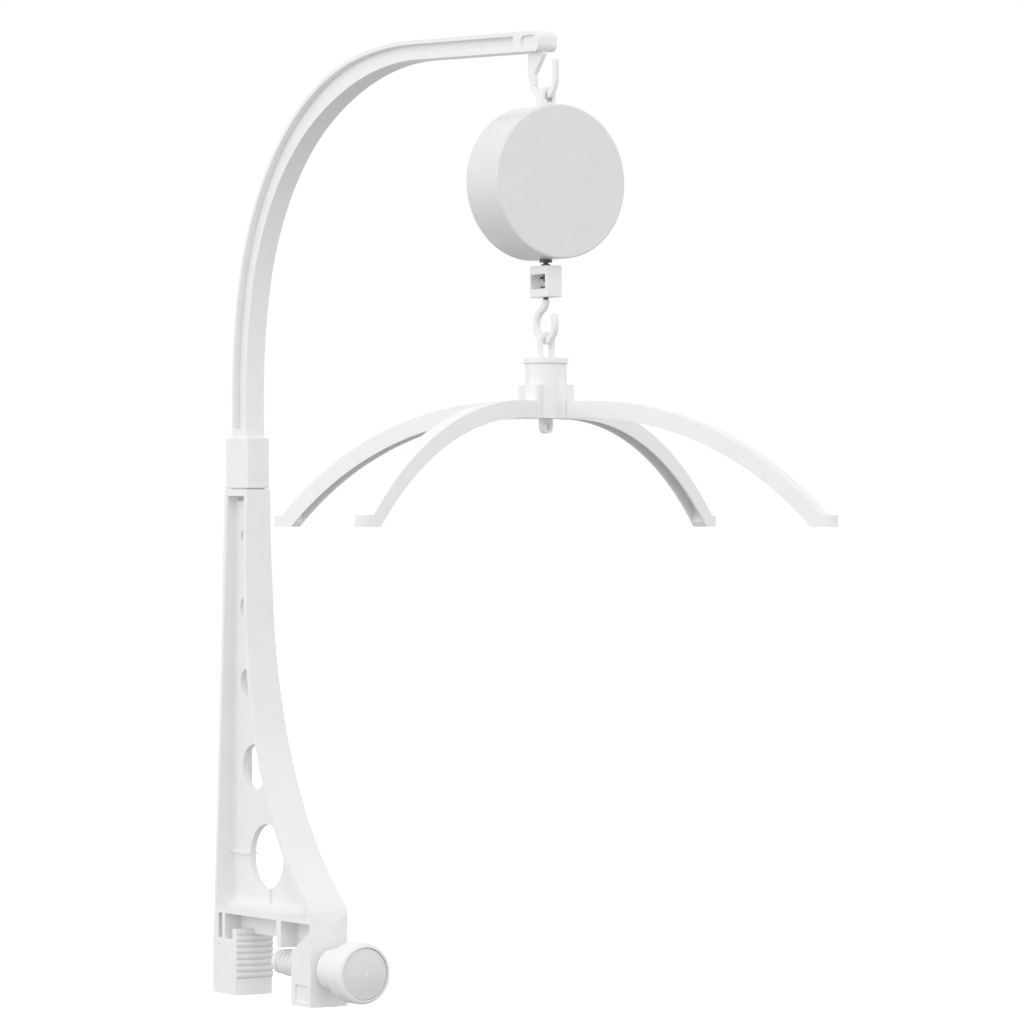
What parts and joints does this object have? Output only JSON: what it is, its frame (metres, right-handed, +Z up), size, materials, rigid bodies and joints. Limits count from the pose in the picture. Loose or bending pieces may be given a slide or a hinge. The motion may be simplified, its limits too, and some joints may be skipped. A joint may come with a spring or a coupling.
{
  "type": "crib mobile",
  "caption": "Rail-clamped post and curved arm holding a wind-up music box on a hook, with a curved-spar toy hanger turning below it.",
  "frame": {"origin": "on the underside of the seat plate over the crib rail, in the middle of the post's width; the web's lower edge, 13 mm below it, rests on the rail", "axes": "+X from the post towards the music box, +Z up, Y across the post's width"},
  "size_m": [0.5761, 0.3732, 0.6314],
  "materials": {
    "white_plastic": "satin moulded",
    "steel": "bright",
    "case_plastic": "gloss moulded",
    "dark_steel": "blackened",
    "brass": "turned",
    "grip": "matt elastomer"
  },
  "bodies": {
    "stand": {"lower_bracket": "white_plastic", "jaw_grip_pad": "grip", "joint_sleeve": "white_plastic", "upper_arm": "white_plastic", "arm_hook": "white_plastic"},
    "foot": {"pressure_foot": "white_plastic"},
    "screw": {"clamp_screw": "white_plastic", "clamp_knob": "white_plastic", "knob_cap": "case_plastic"},
    "music_box": {"front_shell": "case_plastic", "rear_cover": "case_plastic", "hanging_eye": "white_plastic", "case_screws": "steel", "movement_plate": "brass", "movement_bridge": "brass", "plate_screws": "steel", "tone_comb": "steel", "shaft_bush": "dark_steel"},
    "barrel": {"spring_barrel": "brass", "mainspring": "steel"},
    "key": {"winding_arbor": "steel", "winding_key": "white_plastic"},
    "drum": {"pin_drum": "brass"},
    "air_brake": {"governor": "brass"},
    "drive": {"output_shaft": "dark_steel", "shaft_clip": "dark_steel", "coupling_box": "white_plastic", "cross_pin": "dark_steel"},
    "swivel_hook": {"lower_hook": "white_plastic", "swivel_pin": "dark_steel"},
    "hanger": {"hub_cap": "white_plastic", "hub_body": "white_plastic", "hub_eyelet": "white_plastic", "tie_nut": "steel", "cross_arm_1": "white_plastic", "cross_arm_2": "white_plastic", "cross_arm_3": "white_plastic", "cross_arm_4": "white_plastic"}
  },
  "joints": [
    {"name": "clamp_slide", "type": "slide", "parent": "stand", "child": "foot", "axis": [1, 0, 0], "range_m": [-0.003, 0.027]},
    {"name": "clamp_turn", "type": "hinge", "parent": "foot", "child": "screw", "pos_m": [0, 0, -0.0295], "axis": [1, 0, 0], "range_deg": [-216, 1944]},
    {"name": "box_swing", "type": "hinge", "parent": "stand", "child": "music_box", "pos_m": [0.332, 0, 0.5295], "axis": [1, 0, 0], "range_deg": [-25, 25]},
    {"name": "key_turn", "type": "hinge", "parent": "music_box", "child": "key", "pos_m": [0.332, 0, 0.476], "axis": [1, 0, 0], "continuous": true},
    {"name": "barrel_turn", "type": "hinge", "parent": "music_box", "child": "barrel", "pos_m": [0.332, 0, 0.476], "axis": [1, 0, 0], "continuous": true},
    {"name": "drum_turn", "type": "hinge", "parent": "music_box", "child": "drum", "pos_m": [0.332, 0.024, 0.476], "axis": [1, 0, 0], "continuous": true},
    {"name": "brake_turn", "type": "hinge", "parent": "music_box", "child": "air_brake", "pos_m": [0.332, -0.0192, 0.476], "axis": [1, 0, 0], "continuous": true},
    {"name": "drive_turn", "type": "hinge", "parent": "music_box", "child": "drive", "pos_m": [0.332, 0, 0.46], "axis": [0, 0, 1], "continuous": true},
    {"name": "hook_swivel", "type": "hinge", "parent": "drive", "child": "swivel_hook", "pos_m": [0.332, 0, 0.408], "axis": [0, 0, 1], "continuous": true},
    {"name": "hanger_swing", "type": "hinge", "parent": "swivel_hook", "child": "hanger", "pos_m": [0.332, 0, 0.3784], "axis": [1, 0, 0], "range_deg": [-20, 20]}
  ],
  "couplings": [
    {"joint": "clamp_slide", "follows": "clamp_turn", "m_per_rad": 0.00079577},
    {"joint": "drum_turn", "follows": "barrel_turn", "ratio": -1.5},
    {"joint": "brake_turn", "follows": "barrel_turn", "ratio": -3},
    {"joint": "drive_turn", "follows": "barrel_turn", "ratio": 3.3333}
  ]
}
